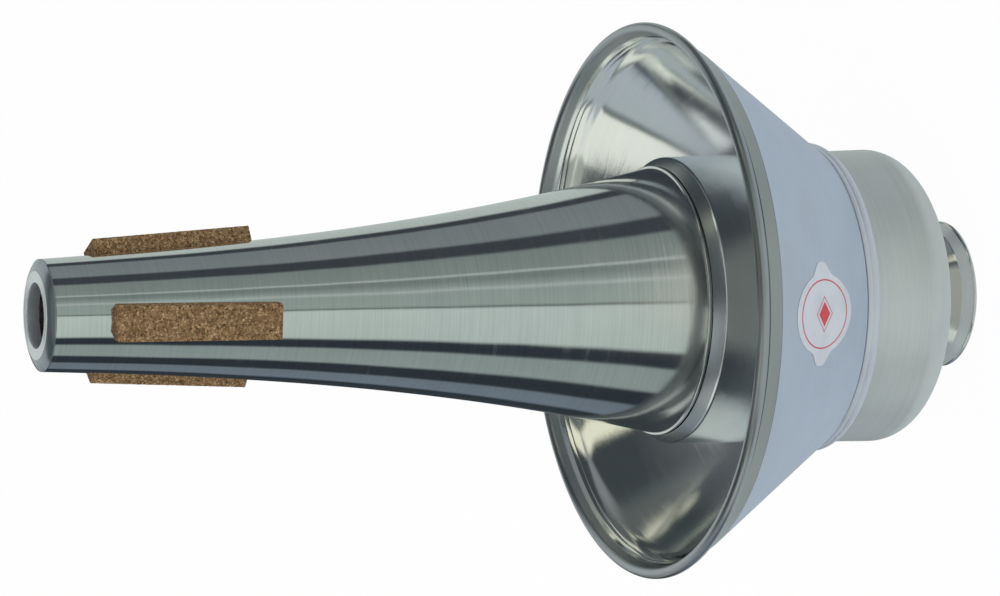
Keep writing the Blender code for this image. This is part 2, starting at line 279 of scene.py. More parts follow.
def arc(centreRadius, centreHeight, radius, start, end, steps):
    points = []
    for step in range(steps + 1):
        angle = radians(start + (end - start) * step / steps)
        points.append((centreRadius + radius * cos(angle), centreHeight + radius * sin(angle), 0.0))
    return points


def spinPiece(name, corners, steps):
    # one vertex is extruded round the outline, then the loop is spun about the axis
    points = smoothCorners(corners)
    nothingSelected()
    bpy.ops.mesh.primitive_plane_add(size=spinning["seed"], location=(points[0].x, 0.0, points[0].y))
    piece = bpy.context.object
    piece.name = name
    bpy.ops.object.transform_apply(location=True, rotation=True, scale=True)
    bpy.ops.object.mode_set(mode="EDIT")
    bpy.ops.mesh.select_all(action="SELECT")
    bpy.ops.mesh.merge(type="CENTER")
    for here, there in zip(points, points[1:] + points[:1]):
        bpy.ops.mesh.extrude_vertices_move(
            TRANSFORM_OT_translate={"value": (there.x - here.x, 0.0, there.y - here.y)})
    bpy.ops.mesh.select_all(action="SELECT")
    bpy.ops.mesh.remove_doubles(threshold=spinning["weld"])
    bpy.ops.mesh.select_all(action="SELECT")
    bpy.ops.mesh.spin(steps=steps, angle=2 * pi, center=(0, 0, 0), axis=(0, 0, 1))
    bpy.ops.mesh.select_all(action="SELECT")
    bpy.ops.mesh.remove_doubles(threshold=spinning["weld"])
    bpy.ops.mesh.normals_make_consistent(inside=False)
    bpy.ops.object.mode_set(mode="OBJECT")
    bpy.ops.object.shade_smooth_by_angle(angle=radians(spinning["smoothAngle"]))
    return piece


def dress(piece, node, material, body):
    piece.data.materials.clear()
    piece.data.materials.append(material)
    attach(piece, body)
    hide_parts(node)
    print(piece.name, "made:", len(piece.data.polygons), "faces")


# Stem and nose
stem = {
    "noseTop": 0.2685, "top": 0.26675, "root": 0.091976, "noseRadius": 0.0147, "rootRadius": 0.036945,
    "taper": 0.40, "flarePower": 2.45, "wall": 0.0012, "beadRadius": 0.0005, "beadCentre": 0.0371,
    "beadHeight": 0.0915, "beadFrom": 106, "beadTo": -80, "beadSteps": 12, "skirtRadius": 0.0372,
    "skirtEnd": 0.0817, "edge": 0.0002, "skirtCorner": 0.0004, "rows": 80, "spin": 216,
    "finish": polishedLook}


def stemRadius(z):
    share = (stem["noseTop"] - z) / (stem["noseTop"] - stem["root"])
    opening = stem["taper"] * share + (1.0 - stem["taper"]) * share ** stem["flarePower"]
    return stem["noseRadius"] + (stem["rootRadius"] - stem["noseRadius"]) * opening


def makeStem():
    outer = []
    inner = []
    for row in range(stem["rows"] + 1):
        z = stem["top"] + (stem["root"] - stem["top"]) * row / stem["rows"]
        outer.append((stemRadius(z), z, 0.0))
        inner.append((stemRadius(z) - stem["wall"], z, 0.0))
    outer += arc(
        stem["beadCentre"], stem["beadHeight"], stem["beadRadius"], stem["beadFrom"], stem["beadTo"],
        stem["beadSteps"])
    outer.append((stem["skirtRadius"], stem["skirtEnd"], stem["edge"]))
    skirtInside = stem["skirtRadius"] - stem["wall"]
    inner += [
        (skirtInside, stem["beadHeight"] - stem["beadRadius"], stem["skirtCorner"]),
        (skirtInside, stem["skirtEnd"], stem["edge"])]
    piece = spinPiece("stemShell", outer + inner[::-1], stem["spin"])
    dress(piece, "stem_shell", turnedMetal("polishedStem", stem["finish"]), "mute_body")


nose = {
    "bore": 0.00865, "boreDepth": 0.0036, "face": 0.0115, "chamfer": 0.0014, "fullness": 0.25, "rows": 10,
    "spigotWall": 0.0020, "spigotDepth": 0.0076, "gap": 0.0003, "seam": 0.00005,
    "lines": (0.01085, 0.01035, 0.0098, 0.00935), "lineHalf": 0.00010, "lineDepth": 0.00004,
    "lipEdge": 0.00008, "boreLip": 0.0003, "edge": 0.0002, "spin": 144,
    "faceFinish": dict(turnedLook, roughness=0.26),
    "chamferFinish": dict(dark=(0.22, 0.26, 0.29), light=(0.30, 0.34, 0.37), roughness=0.20, metallic=0.85),
    "boreFinish": dict(dark=(0.62, 0.66, 0.72), light=(0.80, 0.84, 0.86), roughness=0.22, metallic=0.8),
    "boreTo": 0.0089, "finishSoft": 0.0001}


def noseMetal():
    soft = nose["finishSoft"]

    def onChamfer(kit, radius, z):
        return kit.above(radius, nose["face"] + soft, soft)

    def inBore(kit, radius, z):
        return kit.below(radius, nose["boreTo"], soft)

    return turnedMetal("turnedNose", nose["faceFinish"], [
        (nose["chamferFinish"], onChamfer), (nose["boreFinish"], inBore)])


def makeNose():
    rim = stemRadius(stem["top"])
    spigot = rim - stem["wall"] - nose["gap"]
    spigotInside = spigot - nose["spigotWall"]
    low = stem["top"] + nose["seam"]
    top = stem["noseTop"]
    half = nose["lineHalf"]
    start = Vector((rim, top - nose["chamfer"]))
    end = Vector((nose["face"], top))
    corner = (start + end) / 2
    corner = corner + (Vector((rim, top)) - corner) * nose["fullness"]
    corners = [(rim, low, nose["lipEdge"])]
    for row in range(nose["rows"] + 1):         # the softly curved chamfer
        share = row / nose["rows"]
        here = start * (1 - share) ** 2 + corner * 2 * share * (1 - share) + end * share ** 2
        corners.append((here.x, here.y, 0.0))
    for line in nose["lines"]:                  # fine turned lines in the face
        corners += [(line + half, top, 0.0), (line, top - nose["lineDepth"], 0.0), (line - half, top, 0.0)]
    corners += [
        (nose["bore"], top, nose["boreLip"]),
        (nose["bore"], top - nose["boreDepth"], nose["edge"]),
        (spigotInside, top - nose["boreDepth"], 0.0),
        (spigotInside, low - nose["spigotDepth"], nose["edge"]),
        (spigot, low - nose["spigotDepth"], nose["edge"]),
        (spigot, low, 0.0)]
    piece = spinPiece("noseRing", corners, nose["spin"])
    dress(piece, "nose_ring", noseMetal(), "mute_body")


makeStem()
makeNose()

# Chamber and its socket
chamber = {
    "mouth": 0.0907, "crest": 0.0875, "back": 0.0148, "frontRadius": 0.0399, "mouthRadius": 0.0375,
    "rearRadius": 0.0415, "crestRound": 0.0014, "crestSteps": 8, "corner": 0.0092, "cornerSteps": 24,
    "innerSteps": 16, "crown": 0.0015, "crownShare": 0.25, "crownRound": 0.006, "wall": 0.0012,
    "hole": 0.0137, "ringDepth": 0.00001, "ringHalf": 0.0003, "rings": (0.0292, 0.0266),
    "mouthEdge": 0.00015, "holeEdge": 0.0003, "edge": 0.0002, "innerCrest": 0.0003, "spin": 220,
    "rearFinish": dict(
        satinLook, dark=(0.70, 0.73, 0.72), light=(0.88, 0.91, 0.89), cloudTone=0.5, warmShare=0.35),
    "frontFinish": dict(dark=(0.72, 0.76, 0.78), light=(0.86, 0.90, 0.92), roughness=0.15, metallic=1.0),
    # painted shade: the chamber's lip above the crest, right under the stem's shoulder, is darkened as if in
    # its shade
    "shoulderPaintedShade": dict(dark=(0.40, 0.44, 0.47), light=(0.52, 0.56, 0.59), roughness=0.30, metallic=1.0),
    "frontFrom": 0.0475, "frontSoft": 0.0045, "shoulderFrom": 0.0880, "shoulderSoft": 0.0001}


def chamberMetal():
    def inFront(kit, radius, z):
        return kit.above(z, chamber["frontFrom"], chamber["frontSoft"])

    # painted shade on the chamber's lip under the stem's shoulder
    def inShoulderShade(kit, radius, z):
        return kit.above(z, chamber["shoulderFrom"], chamber["shoulderSoft"])

    return turnedMetal("spunChamber", chamber["rearFinish"], [
        (chamber["frontFinish"], inFront), (chamber["shoulderPaintedShade"], inShoulderShade)])


def chamberRadius(z):
    low = chamber["back"] + chamber["crown"] + chamber["corner"]
    share = (chamber["crest"] - z) / (chamber["crest"] - low)
    return chamber["frontRadius"] + (chamber["rearRadius"] - chamber["frontRadius"]) * share


def makeChamber():
    wall = chamber["wall"]
    mouthRadius = chamber["mouthRadius"]
    rise = chamber["mouth"] - chamber["crest"]
    facing = atan2(chamber["frontRadius"] - mouthRadius, rise)
    crestRound = chamber["crestRound"]
    cornerRadius = chamber["rearRadius"] - chamber["corner"]
    cornerHeight = chamber["back"] + chamber["crown"] + chamber["corner"]
    middle = (cornerRadius + chamber["hole"]) / 2
    middleHeight = chamber["back"] + chamber["crown"] * chamber["crownShare"]
    half = chamber["ringHalf"]
    corners = [(mouthRadius, chamber["mouth"], chamber["mouthEdge"])]
    corners += arc(
        chamber["frontRadius"] - crestRound, chamber["crest"] - crestRound * tan(facing / 2), crestRound,
        degrees(facing), 0, chamber["crestSteps"])
    for line in chamber["rings"]:               # faint turned rings near the back
        corners += [
            (chamberRadius(line + half), line + half, 0.0),
            (chamberRadius(line) - chamber["ringDepth"], line, 0.0),
            (chamberRadius(line - half), line - half, 0.0)]
    corners += arc(cornerRadius, cornerHeight, chamber["corner"], 0, -90, chamber["cornerSteps"])
    corners += [
        (middle, middleHeight, chamber["crownRound"]),
        (chamber["hole"], chamber["back"], chamber["holeEdge"]),
        (chamber["hole"], chamber["back"] + wall, chamber["edge"]),
        (middle, middleHeight + wall, chamber["crownRound"])]
    corners += arc(cornerRadius, cornerHeight, chamber["corner"] - wall, -90, 0, chamber["innerSteps"])
    corners += [
        (chamber["frontRadius"] - wall, chamber["crest"] - wall * tan(facing / 2), chamber["innerCrest"]),
        (mouthRadius, chamber["mouth"] - wall / sin(facing), chamber["edge"])]
    piece = spinPiece("chamberShell", corners, chamber["spin"])
    dress(piece, "chamber_shell", chamberMetal(), "mute_body")


socket = {
    "bore": 0.0125, "wall": 0.0009, "depth": 0.0280, "flange": 0.0030, "thick": 0.0010, "seat": 0.0003,
    "edge": 0.0002, "flangeRound": 0.0004, "spin": 96, "finish": turnedLook}


def makeSocket():
    outside = socket["bore"] + socket["wall"]
    flange = outside + socket["flange"]
    top = chamber["back"] - socket["seat"]
    end = chamber["back"] + socket["depth"]
    corners = [
        (outside, end, socket["edge"]),
        (outside, top, 0.0),
        (flange, top, socket["edge"]),
        (flange, top - socket["thick"], socket["flangeRound"]),
        (socket["bore"], top - socket["thick"], socket["edge"]),
        (socket["bore"], end, socket["edge"])]
    piece = spinPiece("tubeSocket", corners, socket["spin"])
    dress(piece, "tube_socket", turnedMetal("socketMetal", socket["finish"]), "mute_body")


makeChamber()
makeSocket()

# Cup and collar
collar = {
    "low": 0.0425, "beadTop": 0.0467, "top": 0.0527, "beadWall": 0.0023, "spigotWall": 0.0012,
    "gap": 0.0003, "edge": 0.00105, "edgeDepth": 0.00075, "groove": 0.0001, "grooveHalf": 0.0004,
    "corner": 0.0002, "beadCorner": 0.0003, "grooveEdge": 0.0001, "edgeRound": 0.0009, "lowRound": 0.0004,
    "spin": 240,
    "finish": dict(
        turnedLook, dark=(0.70, 0.74, 0.80), light=(0.80, 0.84, 0.91), roughness=0.45, metallic=0.85)}


def makeCollar():
    boreLow = chamberRadius(collar["low"]) + collar["gap"]
    boreTop = chamberRadius(collar["top"]) + collar["gap"]
    bead = boreLow + collar["beadWall"]
    neck = boreTop + collar["spigotWall"]
    grooveTop = collar["beadTop"] - collar["edge"]
    grooveMiddle = grooveTop - collar["grooveHalf"]
    corners = [
        (boreTop, collar["top"], collar["corner"]),
        (neck, collar["top"], collar["corner"]),
        (neck, collar["beadTop"], 0.0),
        (bead, collar["beadTop"], collar["beadCorner"]),
        (bead, grooveTop, collar["grooveEdge"]),
        (bead - collar["groove"], grooveMiddle, collar["grooveEdge"]),
        (bead, grooveMiddle - collar["grooveHalf"], collar["grooveEdge"]),
        (bead, collar["low"] + collar["edge"], collar["edgeRound"]),
        (bead - collar["edgeDepth"], collar["low"], collar["lowRound"]),
        (boreLow, collar["low"], collar["corner"])]
    piece = spinPiece("cupCollar", corners, collar["spin"])
    dress(piece, "cup_collar", turnedMetal("collarMetal", collar["finish"]), "collar")


cup = {
    "low": 0.0470, "throat": 0.042589, "wall": 0.0012, "bandLow": 0.0873, "bandTop": 0.0928,
    "coneRadius": 0.0725, "rim": 0.0773, "bead": 0.0016, "beadFrom": -90, "beadTo": 171, "beadSteps": 34,
    "step": 0.0008, "kink": 0.0015, "kinkDrop": 0.0006, "bow": 0.0005, "rows": 12,
    "lines": (0.0915, 0.0903), "lineHalf": 0.0002, "lineRise": 0.00012, "lineFall": 0.0001,
    "lowEdge": 0.0003, "outerKink": 0.0009, "stepRound": 0.0003, "throatRound": 0.0010, "edge": 0.0002,
    "spin": 260,
    "plainFinish": dict(turnedLook, warmShare=0.3, cloudTone=0.45),
    "coneFinish": dict(dark=(0.62, 0.69, 0.80), light=(0.74, 0.82, 0.94), roughness=0.50, metallic=1.0),
    # painted reflection: the band's colour is kept darker than the cone's, standing in for the darker
    # surroundings it mirrors; its roughness is its own satin finish
    "bandFinish": dict(dark=(0.34, 0.375, 0.36), light=(0.44, 0.48, 0.46), roughness=0.36, metallic=1.0),
    "borderFinish": dict(dark=(0.22, 0.24, 0.27), light=(0.28, 0.30, 0.33), roughness=0.4, metallic=1.0),
    "beadFinish": dict(dark=(0.34, 0.37, 0.39), light=(0.44, 0.47, 0.49), roughness=0.31, metallic=1.0),
    # painted shade: a near-black strip at the top of the band, just under the rim bead, where the bead shades
    # it
    "paintedBeadShadow": dict(dark=(0.03, 0.035, 0.04), light=(0.04, 0.045, 0.05), roughness=0.5, metallic=0.5),
    "insideFinish": dict(dark=(0.86, 0.88, 0.87), light=(0.96, 0.98, 0.97), roughness=0.075, metallic=1.0),
    "throatFinish": dict(dark=(0.86, 0.90, 0.92), light=(0.95, 0.97, 0.98), roughness=0.16, metallic=0.8),
    "finishSoft": 0.0001, "borderSoft": 0.00005, "borderBelow": 0.0002, "borderAbove": 0.0001,
    "beadShadowWide": 0.0012, "beadSoft": 0.00015, "skin": 0.0002, "throatFull": 0.0490, "throatEnd": 0.0640}


def cupBand():
    # the steep band's upper radius, and how much it opens per metre of height
    top = cup["rim"] - cup["bead"] - cup["step"]
    return top, (top - cup["coneRadius"]) / (cup["bandTop"] - cup["bandLow"])


def cupMetal():
    soft = cup["finishSoft"]
    bandLow = cup["bandLow"]
    bandTop = cup["bandTop"]
    lean = cupBand()[1]
    coneLow = cup["throat"] + cup["wall"]
    coneLean = (cup["coneRadius"] - coneLow) / (bandLow - cup["low"])

    def onCone(kit, radius, z):
        return kit.below(z, bandLow, soft)

    # the band, whose darker colour is a painted reflection
    def onBand(kit, radius, z):
        return kit.above(z, bandLow, soft) * kit.below(z, bandTop, soft * 2)

    def onBorder(kit, radius, z):
        return kit.between(
            z, bandLow - cup["borderBelow"], bandLow + cup["borderAbove"], cup["borderSoft"])

    def onBead(kit, radius, z):
        return kit.above(z, bandTop + cup["beadSoft"], cup["beadSoft"])

    # painted shade under the rim bead: a thin dark strip at the top of the band
    def inBeadShadow(kit, radius, z):
        return kit.between(z, bandTop - cup["beadShadowWide"], bandTop, soft)

    def inside(kit, radius, z):
        # inside of a line just under the outer skin, below the rim bead
        cone = coneLow - cup["skin"] + (z - cup["low"]) * coneLean
        band = cup["coneRadius"] - cup["skin"] + (z - bandLow) * lean
        line = kit.maths("MINIMUM", cone, band)
        return kit.above(line - radius, 0.0, soft) * kit.below(z, bandTop, soft * 2)

    def inThroat(kit, radius, z):
        return inside(kit, radius, z) * kit.clamped(
            radius, cup["throatFull"], cup["throatEnd"], 1.0, 0.0)

    return turnedMetal("spunCup", cup["plainFinish"], [
        (cup["coneFinish"], onCone), (cup["bandFinish"], onBand), (cup["borderFinish"], onBorder),
        (cup["beadFinish"], onBead), (cup["paintedBeadShadow"], inBeadShadow), (cup["insideFinish"], inside),
        (cup["throatFinish"], inThroat)])


def makeCup():
    wall = cup["wall"]
    band, lean = cupBand()
    corners = [
        (cup["throat"] + wall, cup["low"], cup["lowEdge"]),
        (cup["coneRadius"], cup["bandLow"], cup["outerKink"]),
        (band, cup["bandTop"], cup["stepRound"])]
    corners += arc(
        cup["rim"] - cup["bead"], cup["bandTop"] + cup["bead"], cup["bead"], cup["beadFrom"], cup["beadTo"],
        cup["beadSteps"])
    for line in cup["lines"]:                   # thin lines inside the rim
        here = band - wall - lean * (cup["bandTop"] - line)
        corners += [
            (here, line + cup["lineHalf"], 0.0), (here + cup["lineRise"], line, 0.0),
            (here - cup["lineFall"], line - cup["lineHalf"], 0.0)]
    kinkHeight = cup["bandLow"] - cup["kinkDrop"]
    start = Vector((band - wall - lean * (cup["bandTop"] - kinkHeight), kinkHeight))
    end = Vector((cup["throat"], cup["low"] + wall))
    corners.append((start.x, start.y, cup["kink"]))
    for row in range(1, cup["rows"]):           # the cone's inside is drawn a little full
        share = row / cup["rows"]
        here = start + (end - start) * share
        corners.append((here.x + cup["bow"] * 4 * share * (1 - share), here.y, 0.0))
    corners += [
        (cup["throat"], cup["low"] + wall, cup["throatRound"]),
        (cup["throat"], cup["low"], cup["edge"])]
    piece = spinPiece("cupCone", corners, cup["spin"])
    dress(piece, "cup_cone", cupMetal(), "cup")
    return piece


makeCollar()
cupCone = makeCup()

# Rear tube
tube = {
    "radius": 0.0122, "wall": 0.0008, "low": 0.0070, "top": 0.1050, "topEdge": 0.0003, "lowEdge": 0.0001,
    "spin": 120, "finish": dict(polishedLook, roughness=0.16)}
flare = {
    "height": 0.0130, "rim": 0.0208, "rimRound": 0.0007, "rimFrom": 50, "rimSteps": 12, "wall": 0.0009,
    "gap": 0.0003, "neckPower": 1.1, "neckRows": 18, "mouthRows": 14, "bandRadius": 0.0182,
    "bandHeight": 0.0035, "seat": 0.0067, "edge": 0.0001, "neckEdge": 0.0002, "bandEdge": 0.0004, "spin": 180,
    "plainFinish": dict(polishedLook, roughness=0.10),
    "bandFinish": dict(dark=(0.70, 0.74, 0.76), light=(0.84, 0.88, 0.90), roughness=0.40, metallic=0.75),
    "bandFrom": 0.0178, "bandFromSoft": 0.0002, "bandTo": 0.02035, "bandToSoft": 0.00005,
    "bandHeightSoft": 0.0001}


def flareMetal():
    def onBand(kit, radius, z):
        beside = kit.above(radius, flare["bandFrom"], flare["bandFromSoft"])
        beside = beside * kit.below(radius, flare["bandTo"], flare["bandToSoft"])
        return beside * kit.below(z, flare["bandHeight"], flare["bandHeightSoft"])

    return turnedMetal("flareMetal", flare["plainFinish"], [(flare["bandFinish"], onBand)])


def makeTube():
    inside = tube["radius"] - tube["wall"]
    corners = [
        (tube["radius"], tube["top"], tube["topEdge"]), (tube["radius"], tube["low"], tube["lowEdge"]),
        (inside, tube["low"], tube["lowEdge"]), (inside, tube["top"], tube["topEdge"])]
    piece = spinPiece("slideTube", corners, tube["spin"])
    dress(piece, "slide_tube", turnedMetal("tubeMetal", tube["finish"]), "rear_tube")


def makeFlare():
    bore = tube["radius"] + flare["gap"]
    neck = bore + flare["wall"]
    rimCentre = flare["rim"] - flare["rimRound"]
    throat = tube["radius"] - tube["wall"]
    mouth = rimCentre - flare["wall"]
    lastRow = flare["neckRows"]
    corners = []
    for row in range(lastRow + 1):
        share = row / lastRow
        z = flare["height"] + (flare["bandHeight"] - flare["height"]) * share
        soft = {0: flare["neckEdge"], lastRow: flare["bandEdge"]}.get(row, 0.0)
        corners.append((neck + (flare["bandRadius"] - neck) * share ** flare["neckPower"], z, soft))
    corners += arc(rimCentre, flare["rimRound"], flare["rimRound"], flare["rimFrom"], -90, flare["rimSteps"])
    for row in range(flare["mouthRows"] + 1):
        share = row / flare["mouthRows"]
        corners.append((throat + (mouth - throat) * (1.0 - share) ** 2, flare["seat"] * share, 0.0))
    corners += [(bore, flare["seat"], flare["edge"]), (bore, flare["height"], flare["edge"])]
    piece = spinPiece("flaredEnd", corners, flare["spin"])
    dress(piece, "flared_end", flareMetal(), "rear_tube")


makeTube()
makeFlare()

# Cork strips
cork = {
    "count": 3, "firstAngle": 22.5, "length": 0.0450, "width": 0.0096, "thick": 0.0042, "top": 0.2520,
    "endBevel": 0.0005, "gap": 0.0003, "voxel": 0.00022, "crumb": 0.00014, "crumbSize": 0.0006,
    "crumbDepth": 2, "crumbMiddle": 0.75, "sink": 0.003, "probe": 0.001, "edge": 0.00025, "edgeSteps": 2,
    "outerFacing": 0.9, "cutLow": 0.20, "cutHigh": 0.26, "cutRows": 20, "cutCore": 0.001, "cutSpin": 240,
    "bark": [
        (0.0, (0.05, 0.028, 0.012)), (0.22, (0.14, 0.082, 0.036)), (0.5, (0.25, 0.155, 0.075)),
        (0.75, (0.38, 0.250, 0.130)), (1.0, (0.56, 0.400, 0.240))],
    "chipScale": 1500.0, "smallScale": 3400.0, "wanderScale": 1400.0, "wander": 0.0004,
    "dustScale": 5200.0, "chipTone": 0.55, "smallTone": 0.35, "dustTone": 0.10,
    "binder": (0.10, 0.056, 0.026), "binderWidth": 0.10, "binderShare": 0.6,
    "pit": (0.04, 0.022, 0.012), "pitScale": 1300.0, "pitRange": (0.60, 0.68), "pitShare": 0.8,
    "chipHeight": 0.35, "smallHeight": 0.2, "binderDepth": 0.5, "dustHeight": 0.3,
    "bump": 0.9, "bumpDepth": 0.00018, "roughness": 0.82, "dustRough": 0.12, "specular": 0.3}


def corkMaterial():
    # packed chips: cells of light and dark bark with pits and dark binder between them
    material, kit = newMaterial("corkChips")
    spot = kit.node("TexCoord", out="Object")
    drift = kit.node("TexNoise", {}, {"Vector": spot, "Scale": cork["wanderScale"], "Detail": 2.0}, 1)
    drift = kit.node("VectorMath", {"operation": "SCALE"}, {0: drift, "Scale": cork["wander"]})
    wander = kit.node("VectorMath", {"operation": "ADD"}, {0: spot, 1: drift})
    chips = kit.node("TexVoronoi", {}, {
        "Vector": wander, "Scale": cork["chipScale"], "Randomness": 1.0}, "Color")
    tone = kit.split(chips)[0]
    seams = kit.node("TexVoronoi", {"feature": "DISTANCE_TO_EDGE"}, {
        "Vector": wander, "Scale": cork["chipScale"]})
    smallChips = kit.node("TexVoronoi", {}, {"Vector": wander, "Scale": cork["smallScale"]}, "Color")
    smallTone = kit.split(smallChips)[1]
    dust = kit.grain(spot, cork["dustScale"], 3.0, 0.7)
    mixed = tone * cork["chipTone"] + smallTone * cork["smallTone"] + dust * cork["dustTone"]
    colour = kit.node("ValToRGB", {"stops": cork["bark"]}, {"Fac": mixed})
    binder = kit.clamped(seams, 0.0, cork["binderWidth"], 1.0, 0.0)
    colour = kit.blend(colour, rgb(*cork["binder"]), binder * cork["binderShare"])
    pits = kit.clamped(kit.grain(spot, cork["pitScale"], 2.0, 0.6), *cork["pitRange"])
    colour = kit.blend(colour, rgb(*cork["pit"]), pits * cork["pitShare"])
    height = tone * cork["chipHeight"] + smallTone * cork["smallHeight"] + dust * cork["dustHeight"]
    height = height - binder * cork["binderDepth"] - pits
    bump = kit.node("Bump", {}, {
        "Strength": cork["bump"], "Distance": cork["bumpDepth"], "Height": height})
    rough = cork["roughness"] + dust * cork["dustRough"]
    closeMaterial(kit, colour, rough, 0.0, bump, {"Specular IOR Level": cork["specular"]})
    return material


def makeCorks():
    middle = cork["top"] - cork["length"] / 2
    probe = cork["probe"]
    slope = atan((stemRadius(middle - probe) - stemRadius(middle + probe)) / (2 * probe))
    out = Vector((cos(slope), 0.0, sin(slope)))
    deep = cork["thick"] + cork["sink"]
    centre = Vector((stemRadius(middle), 0.0, middle)) + out * (cork["thick"] - deep / 2)
    nothingSelected()
    bpy.ops.mesh.primitive_cube_add(size=1.0, scale=(deep, cork["width"], cork["length"]))
    strip = bpy.context.object
    strip.name = "corkStrip1"
    bpy.ops.object.transform_apply(location=True, rotation=True, scale=True)
    for face in strip.data.polygons:            # the outer face is a little shorter than the root
        face.select = face.normal.x > cork["outerFacing"]
    bpy.ops.object.mode_set(mode="EDIT")
    bpy.ops.mesh.select_mode(type="FACE")
    bpy.ops.transform.resize(value=(1.0, 1.0, 1.0 - 2 * cork["endBevel"] / cork["length"]))
    bpy.ops.mesh.select_all(action="SELECT")
    bpy.ops.mesh.bevel(offset=cork["edge"], segments=cork["edgeSteps"])
    bpy.ops.object.mode_set(mode="OBJECT")
    strip.rotation_euler = (0.0, -slope, 0.0)
    strip.location = centre
    bpy.ops.object.transform_apply(location=True, rotation=True, scale=True)

    # the underside is hollowed to the stem by a turned cutter
    low = cork["cutLow"]
    high = cork["cutHigh"]
    side = [(cork["cutCore"], high, 0.0), (cork["cutCore"], low, 0.0)]
    for row in range(cork["cutRows"] + 1):
        z = low + (high - low) * row / cork["cutRows"]
        side.append((stemRadius(z) + cork["gap"], z, 0.0))
    cutter = spinPiece("corkCutter", side, cork["cutSpin"])
    onlySelected(strip)
    shapeBy(strip, "BOOLEAN", object=cutter)
    shapeBy(strip, "REMESH", voxel_size=cork["voxel"])
    crumbs = bpy.data.textures.new("corkCrumbs", "CLOUDS")
    crumbs.noise_scale = cork["crumbSize"]
    crumbs.noise_depth = cork["crumbDepth"]
    shapeBy(strip, "DISPLACE", texture=crumbs, strength=cork["crumb"], mid_level=cork["crumbMiddle"])
    bpy.ops.object.shade_smooth()
    bpy.data.objects.remove(cutter, do_unlink=True)

    material = corkMaterial()
    strips = [strip]
    for number in range(1, cork["count"]):
        bpy.ops.object.duplicate(linked=False)
        copy = bpy.context.object
        copy.name = "corkStrip%d" % (number + 1)
        strips.append(copy)
    for number, piece in enumerate(strips):
        onlySelected(piece)
        piece.rotation_euler = (0.0, 0.0, radians(cork["firstAngle"] + number * 360.0 / cork["count"]))
        bpy.ops.object.transform_apply(location=True, rotation=True, scale=True)
        dress(piece, "cork_strip_%d" % (number + 1), material, "mute_body")


makeCorks()

# Plain label on the cone
label = {
    "angle": -94.0, "middle": 0.0680, "long": 0.0308, "across": 0.0222, "tab": 0.145, "tabHalf": 0.10,
    "tabReach": 0.15, "lift": 0.00006, "thick": 0.00008, "rings": 14, "sides": 144, "rimFrom": 0.495,
    "approach": 0.001, "smoothAngle": 40.0,
    "dark": (0.56, 0.61, 0.67), "light": (0.68, 0.73, 0.79), "ink": (0.62, 0.05, 0.07),
    "border": (0.805, 0.84), "lozenge": 0.305, "outline": (0.405, 0.445), "slant": 1.5, "soft": 0.005,
    "fibreScale": 2400.0, "cloudScale": 90.0, "fibreShare": 0.3, "cloudRange": (0.4, 0.85),
    "wearRange": (0.62, 0.72), "wornInk": 0.75, "inkHeight": 0.6, "bump": 0.4, "bumpDepth": 0.00003,
    "roughness": 0.34, "fibreRough": 0.12}


def labelMaterial(centre, along, across):
    # pale foil with a thin border line and a small lozenge; colour by place on the label
    soft = label["soft"]
    material, kit = newMaterial("paleFoil")
    spot = kit.node("TexCoord", out="Object")
    moved = kit.node("VectorMath", {"operation": "SUBTRACT"}, {0: spot, 1: tuple(centre)})
    u = kit.node("VectorMath", {"operation": "DOT_PRODUCT"}, {0: moved, 1: tuple(along)}, "Value")
    v = kit.node("VectorMath", {"operation": "DOT_PRODUCT"}, {0: moved, 1: tuple(across)}, "Value")
    u = u / (label["long"] / 2)
    v = v / (label["across"] / 2)
    size = (u * u + v * v) ** 0.5
    diamond = abs(u) * label["slant"] + abs(v)
    ink = kit.between(size, *label["border"], soft)
    ink = ink + kit.below(diamond, label["lozenge"], soft) + kit.between(diamond, *label["outline"], soft)
    fibre = kit.grain(spot, label["fibreScale"], 3.0, 0.6)
    cloud = kit.grain(spot, label["cloudScale"], 2.0)
    mottle = kit.clamped(cloud + fibre * label["fibreShare"], *label["cloudRange"])
    ground = kit.blend(rgb(*label["dark"]), rgb(*label["light"]), mottle)
    wear = kit.clamped(fibre, *label["wearRange"], 1.0, label["wornInk"])
    colour = kit.blend(ground, rgb(*label["ink"]), ink * wear)
    height = fibre + ink * label["inkHeight"]
    bump = kit.node("Bump", {}, {
        "Strength": label["bump"], "Distance": label["bumpDepth"], "Height": height})
    closeMaterial(kit, colour, label["roughness"] + fibre * label["fibreRough"], 0.0, bump)
    return material


